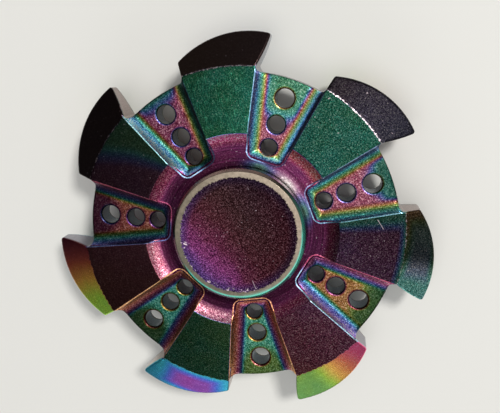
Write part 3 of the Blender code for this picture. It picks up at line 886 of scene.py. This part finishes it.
def coated_material():
    """Interference coating over a cast surface: the colour follows the film's thickness, under painted light
    and shade.
    """
    n = Nodes("rainbow_coating")
    p = n.position()
    film, glow, grain, wear_and_highlight, pale, crease = (n.attribute(name) for name in COATING_VALUES)
    fine = n.noise(p, 3.6, 3.0, 0.65)
    speck = n.noise(p, CAST_GRAIN, 3.0, 0.75)

    spots, lines = cast_level(n, p, grain, speck)
    level = n.math("MULTIPLY", n.math("MULTIPLY", glow, spots), lines)
    level = n.math("MULTIPLY", level, n.span(n.brushed(p, *BRUSHED_BLADE), 0.0, 1.0, 1.0, 2.2))
    colour = n.vector("SCALE", film_colour(n, p, film, grain, pale, fine, speck), scale=level)
    colour = n.mix(bare_metal_and_crease_highlight(n, p, wear_and_highlight, crease), colour, BARE_METAL_AND_HIGHLIGHT)

    rough = n.span(grain, 0.0, 1.0, 0.20, 0.42)
    rough = n.math("ADD", rough, n.math("MULTIPLY", n.math("SUBTRACT", fine, 0.5), 0.16))
    relief = n.math("ADD", n.math("MULTIPLY", grain, 0.9), 0.05)
    n.bump(n.math("MULTIPLY", n.noise(p, 4.6, 3.0, 0.6), relief), CAST_RELIEF, 0.7)
    return n.finish(colour, rough)


# ---------------------------------------------------------------- caps
CAP_R = 9.75
CAP_TOP_Z = 6.20
CAP_UNDER_Z = 3.50
CAP_RIM_OUT_R = 9.35
CAP_RIM_IN_R = 8.50
CAP_DISH_Z = 5.65
CAP_EDGE = 0.40
BOSS_R = 4.00
BOSS_Z = 2.42
SPIGOT_R = 3.12
SPIGOT_Z = 0.30
TAP_R = 2.05
TAP_DEPTH_Z = 4.60
CAP_STEPS = 224


def softened(corners, radius, segments=5):
    """A section line with each of its corners rounded; a corner is (r, z) or (r, z, own radius)."""
    points = [complex(c[0], c[1]) for c in corners]
    made = [points[0]]
    for k in range(1, len(points) - 1):
        own = corners[k][2] if len(corners[k]) > 2 else radius
        made += corner_round(points[k - 1], points[k], points[k + 1], own, segments)
    return made + [points[-1]]


def cap_section():
    """Half section of a cap, from the middle of its dish round the outside to the tapped hole."""
    rim_z = CAP_TOP_Z - 0.02
    dish = arc(complex(-CAP_RIM_IN_R, rim_z), complex(0.0, CAP_DISH_Z), complex(CAP_RIM_IN_R, rim_z), 60)
    dish = dish[30:58]  # from its middle to just short of the rim
    corners = [
        (dish[-1].real, dish[-1].imag),
        (CAP_RIM_IN_R, CAP_TOP_Z - 0.01, 0.25),
        (CAP_RIM_OUT_R, CAP_TOP_Z, 0.10),
        (CAP_R, CAP_TOP_Z - CAP_EDGE - 0.12, 0.12),
        (CAP_R, CAP_UNDER_Z + CAP_EDGE, 0.16),
        (CAP_RIM_OUT_R, CAP_UNDER_Z, 0.12),
        (BOSS_R, CAP_UNDER_Z, 0.12),
        (BOSS_R, BOSS_Z),
        (SPIGOT_R, BOSS_Z, 0.04),
        (SPIGOT_R, SPIGOT_Z),
        (TAP_R, SPIGOT_Z),
        (TAP_R, TAP_DEPTH_Z),
        (0.0, TAP_DEPTH_Z),
    ]
    return filled(dish[:-1] + softened(corners, 0.08), 0.35, closed=False)


def turned_solid(section, steps):
    """Points and faces of a section turned about the axis; both its ends lie on the axis."""
    turns = np.exp(1j * np.arange(steps) * math.tau / steps)
    verts = [(0.0, 0.0, section[0].imag)]
    for p in section[1:-1]:
        ring = p.real * turns
        verts += list(zip(ring.real, ring.imag, np.full(steps, p.imag)))
    verts.append((0.0, 0.0, section[-1].imag))
    faces = []
    rows = len(section) - 2
    last = 1 + (rows - 1) * steps
    for k in range(steps):
        j = (k + 1) % steps
        faces.append((0, 1 + k, 1 + j))
        faces.append((len(verts) - 1, last + j, last + k))
        for row in range(rows - 1):
            a = 1 + row * steps
            faces.append((a + k, a + steps + k, a + steps + j, a + j))
    return np.array(verts), faces


def cap_piece(name, side, material):
    xyz, faces = turned_solid(cap_section(), CAP_STEPS)
    r, height = np.hypot(xyz[:, 0], xyz[:, 1]), xyz[:, 2].copy()
    xyz[:, 2] *= side
    if side < 0:
        faces = [tuple(reversed(f)) for f in faces]
    # The flank's film reaches furthest in over the edge on one side.
    lean = np.clip(np.cos(np.arctan2(xyz[:, 1], xyz[:, 0]) + 0.9), 0.0, 1.0)
    film_from = CAP_RIM_OUT_R + 0.02 - 0.32 * lean
    on_dish = (height > CAP_TOP_Z - 0.7) & (r < CAP_RIM_OUT_R + 0.02)
    attributes = {
        "edge": np.where(on_dish, r - CAP_RIM_IN_R, 0.8),
        "flank": smooth_step(-0.04, 0.04, np.where(height > CAP_UNDER_Z + 0.1, r, CAP_R) - film_from),
    }
    return build_mesh(name, xyz, faces, attributes, material)


# The scratch and the two nicks in the cap's dish: both ends and the width in millimetres, and how bare it is.
CAP_MARKS = (
    ((3.96, -5.74), (4.98, -6.88), 0.07, 0.45),
    ((-7.36, -3.84), (-6.65, -3.89), 0.14, 1.0),
    ((-7.31, -3.57), (-6.77, -3.60), 0.13, 0.6),
)


def dish_colour(n, p, edge, toward):
    """The dish: brown, magenta to violet towards the side painted lit, red and darker across from it as
    painted shade, blue-violet near the rim, also painted lighter on the lit side.
    """
    sideways = n.vector("DOT_PRODUCT", p, (0.99, 0.14, 0.0))
    broad = n.math("SUBTRACT", n.noise(p, 0.28, 3.0, 0.6), 0.5)
    place = n.math("ADD", n.math("MULTIPLY", toward, 0.062), 0.5)
    body = n.ramp(n.math("ADD", place, n.math("MULTIPLY", broad, 0.25)), [
        (0.05, linear((48, 26, 36))),
        (0.35, linear((60, 34, 36))),
        (0.55, linear((72, 32, 40))),
        (0.72, linear((92, 36, 62))),
        (0.86, linear((118, 50, 102))),
        (1.00, linear((98, 58, 118))),
    ])
    # Redder and darker towards this side of the dish: painted shade.
    body = n.mix(n.span(sideways, 1.0, 8.0, 0.0, 0.7), body, linear((78, 26, 38)))
    near_rim = n.span(edge, -1.5, -0.1, 0.0, 0.75, smooth=True)
    band = n.mix(n.span(toward, -2.0, 6.0), linear((34, 20, 46)), linear((60, 44, 98)))
    body = n.mix(near_rim, body, band)
    body = n.vector("SCALE", body, scale=n.span(sideways, -4.0, 8.0, 0.95, 0.55))
    spots = n.noise(p, CAP_GRAIN, 3.0, 0.75)
    body = n.mix(n.span(spots, 0.52, 0.70, 0.0, 0.35), body, linear((96, 84, 88)))
    body = n.vector("SCALE", body, scale=n.math("POWER", n.span(spots, 0.32, 0.68, 0.22, 1.42), 2.3))
    glint = n.span(n.noise(p, 3.4, 1.0), 0.74, 0.78, 0.0, 0.4)
    rim_nicks = n.math("MULTIPLY", n.span(edge, -0.55, -0.25), n.span(toward, 2.0, 5.0), clamp=True)
    nicks = n.math("MULTIPLY", n.span(n.noise(p, 3.0, 2.0, 0.6), 0.60, 0.66), rim_nicks)
    marks = n.math("MAXIMUM", glint, nicks)
    for start, end, width, strength in CAP_MARKS:
        marks = n.math("MAXIMUM", marks, n.math("MULTIPLY", n.scratch(p, start, end, width), strength))
    return n.mix(marks, body, linear((196, 176, 186)))


def rim_bareness(n, p, edge):
    """1 where the rim is worn bare, with ragged teeth that run in from it."""
    x, y = n.split(p)[:2]
    radius = n.axis_distance(p)
    polar = n.plane(n.math("MULTIPLY", n.math("ARCTAN2", y, x), 26.0), n.math("MULTIPLY", radius, 0.9))
    ragged = n.math("MULTIPLY", n.math("SUBTRACT", n.noise(polar, 1.6, 3.0, 0.7), 0.5), 0.9)
    bare = n.span(n.math("ADD", edge, ragged), -0.02, 0.14, smooth=True)
    return n.math("MULTIPLY", bare, n.span(edge, -0.6, -0.2), clamp=True)


def flank_colour(n, p):
    """The turned flank keeps a teal film on one side and has lost it on the other."""
    filmed = n.vector("DOT_PRODUCT", p, (0.64, -0.77, 0.0))
    return n.ramp(n.math("ADD", n.math("MULTIPLY", filmed, 0.045), 0.5), [
        (0.05, linear((150, 124, 118))),
        (0.30, linear((38, 40, 36))),
        (0.48, linear((48, 96, 88))),
        (0.64, linear((62, 150, 134))),
        (0.85, linear((88, 176, 158))),
    ])


def cap_material():
    n = Nodes("worn_cap_coating")
    p = n.position()
    edge, flank = n.attribute("edge"), n.attribute("flank")
    toward = n.vector("DOT_PRODUCT", p, (-0.44, -0.90, 0.0))
    cloud = n.math("MULTIPLY", n.noise(p, 1.6, 4.0, 0.7), 0.9)
    # The bare rim is painted lighter towards the key light and darker on the far side: painted light and
    # shade.
    metal = n.ramp(n.math("ADD", n.math("MULTIPLY", toward, -0.045), cloud), [
        (0.0, linear((92, 88, 76))),
        (0.45, linear((120, 110, 96))),
        (0.9, linear((156, 142, 126))),
    ])
    colour = n.mix(rim_bareness(n, p, edge), dish_colour(n, p, edge, toward), metal)
    colour = n.mix(flank, colour, flank_colour(n, p))
    rough = n.span(n.noise(p, 3.0, 2.0), 0.3, 0.7, 0.30, 0.48)
    n.bump(n.noise(p, 4.5, 3.0, 0.65), CAP_RELIEF, 0.6)
    return n.finish(colour, n.blend(flank, rough, 0.22))


# ---------------------------------------------------------------- materials of the bearing's CAD nodes
def steel_material(name, dark, light, rough, scale):
    """Turned steel: fine lines about the axis under a soft cloud."""
    n = Nodes(name)
    p = n.position()
    height = n.split(p)[2]
    lathe = n.plane(n.math("MULTIPLY", n.axis_distance(p), 14.0), n.math("MULTIPLY", height, 9.0))
    lines = n.noise(lathe, 1.0, 3.0, 0.6)
    cloud = n.noise(p, scale, 3.0, 0.6)
    colour = n.mix(n.math("MULTIPLY", n.math("ADD", lines, cloud), 0.5), linear(dark), linear(light))
    n.bump(lines, STEEL_RELIEF, 0.5)
    return n.finish(colour, n.span(cloud, 0.3, 0.7, rough - 0.05, rough + 0.07))


# ---------------------------------------------------------------- build
rainbow = coated_material()
worn_cap = cap_material()

body = body_piece(rainbow)
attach(body, "rotor")
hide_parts("spinner_body")
for place, side in (("top", 1.0), ("bottom", -1.0)):
    cap = cap_piece(f"{place}_cap_fine", side, worn_cap)
    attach(cap, "hub")
    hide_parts(f"{place}_cap")

finishes = {
    "bearing_outer_ring": steel_material("ground_ring_steel", (150, 152, 156), (206, 208, 212), 0.24, 1.2),
    "ball_01": steel_material("polished_ball_steel", (196, 198, 202), (226, 228, 232), 0.10, 1.0),
    "ball_cage": steel_material("pressed_cage_steel", (118, 108, 92), (176, 166, 148), 0.38, 2.0),
    "bearing_shield_top": steel_material("rolled_shield_steel", (120, 122, 126), (170, 172, 176), 0.34, 1.6),
    "shield_clip_top": steel_material("spring_clip_steel", (96, 98, 104), (150, 152, 158), 0.30, 2.2),
    "cap_screw": steel_material("black_oxide_steel", (20, 20, 22), (52, 52, 56), 0.42, 2.4),
}
same_finish = {
    "bearing_inner_ring": "bearing_outer_ring",
    "bearing_shield_bottom": "bearing_shield_top",
    "shield_clip_bottom": "shield_clip_top",
}
for number in range(2, 11):
    same_finish[f"ball_{number:02d}"] = "ball_01"
for node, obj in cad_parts.items():
    if node in ("spinner_body", "top_cap", "bottom_cap"):
        continue
    finish = finishes[same_finish.get(node, node)]
    for slot in obj.material_slots:
        slot.material = finish

# ---------------------------------------------------------------- floor, light and camera
PHOTO_TURN = math.radians(18.3)  # from the model's x axis to the photograph's right-hand direction


def photo_direction(azimuth, elevation):
    """A direction as it looks in the photograph: azimuth from its right-hand side, counter-clockwise."""
    a, e = math.radians(azimuth) + PHOTO_TURN, math.radians(elevation)
    return Vector((math.cos(a) * math.cos(e), math.sin(a) * math.cos(e), math.sin(e)))


FLOOR_GAP = 0.02 * MM
FLOOR_HALF = 0.9
floor_z = cad_low.z - FLOOR_GAP
corners = ((-1, -1), (1, -1), (1, 1), (-1, 1))
floor_mesh = bpy.data.meshes.new("floor")
floor_mesh.from_pydata([(x * FLOOR_HALF, y * FLOOR_HALF, floor_z) for x, y in corners], [], [(0, 1, 2, 3)])
floor = bpy.data.objects.new("floor", floor_mesh)
bpy.context.scene.collection.objects.link(floor)
floor_mesh.materials.append(Nodes("pale_floor").finish(linear((226, 225, 220)), 0.85, metallic=0.0))


def area_light(name, azimuth, elevation, distance, width, power, colour=(1.0, 1.0, 1.0)):
    data = bpy.data.lights.new(name, "AREA")
    data.shape = "DISK"
    data.size = width
    data.energy = power
    data.color = colour
    lamp = bpy.data.objects.new(name, data)
    direction = photo_direction(azimuth, elevation)
    lamp.location = direction * distance
    lamp.rotation_mode = "QUATERNION"
    lamp.rotation_quaternion = direction.to_track_quat("Z", "Y")
    bpy.context.scene.collection.objects.link(lamp)


area_light("key", 45.0, 56.0, 0.7, 0.14, 3.0, (1.0, 0.985, 0.96))
area_light("overhead", 250.0, 80.0, 0.9, 0.7, 2.2)
area_light("low_fill", 265.0, 16.0, 0.6, 0.5, 0.9)

world = bpy.data.worlds.new("studio")
bpy.context.scene.world = world
world.use_nodes = True
background = world.node_tree.nodes["Background"]
background.inputs["Color"].default_value = (0.96, 0.98, 1.0, 1.0)
background.inputs["Strength"].default_value = 0.27

camera_data = bpy.data.cameras.new("camera")
camera_data.sensor_width = 36.0
camera_data.lens = 50.4
camera_data.clip_start = 0.005
camera_data.clip_end = 10.0
camera = bpy.data.objects.new("camera", camera_data)
camera.location = (0.006124, 0.027054, 0.103670)
camera.rotation_euler = (math.radians(-11.261), math.radians(7.214), math.radians(17.714))
bpy.context.scene.collection.objects.link(camera)
bpy.context.scene.camera = camera
bpy.context.scene.view_settings.view_transform = "Standard"
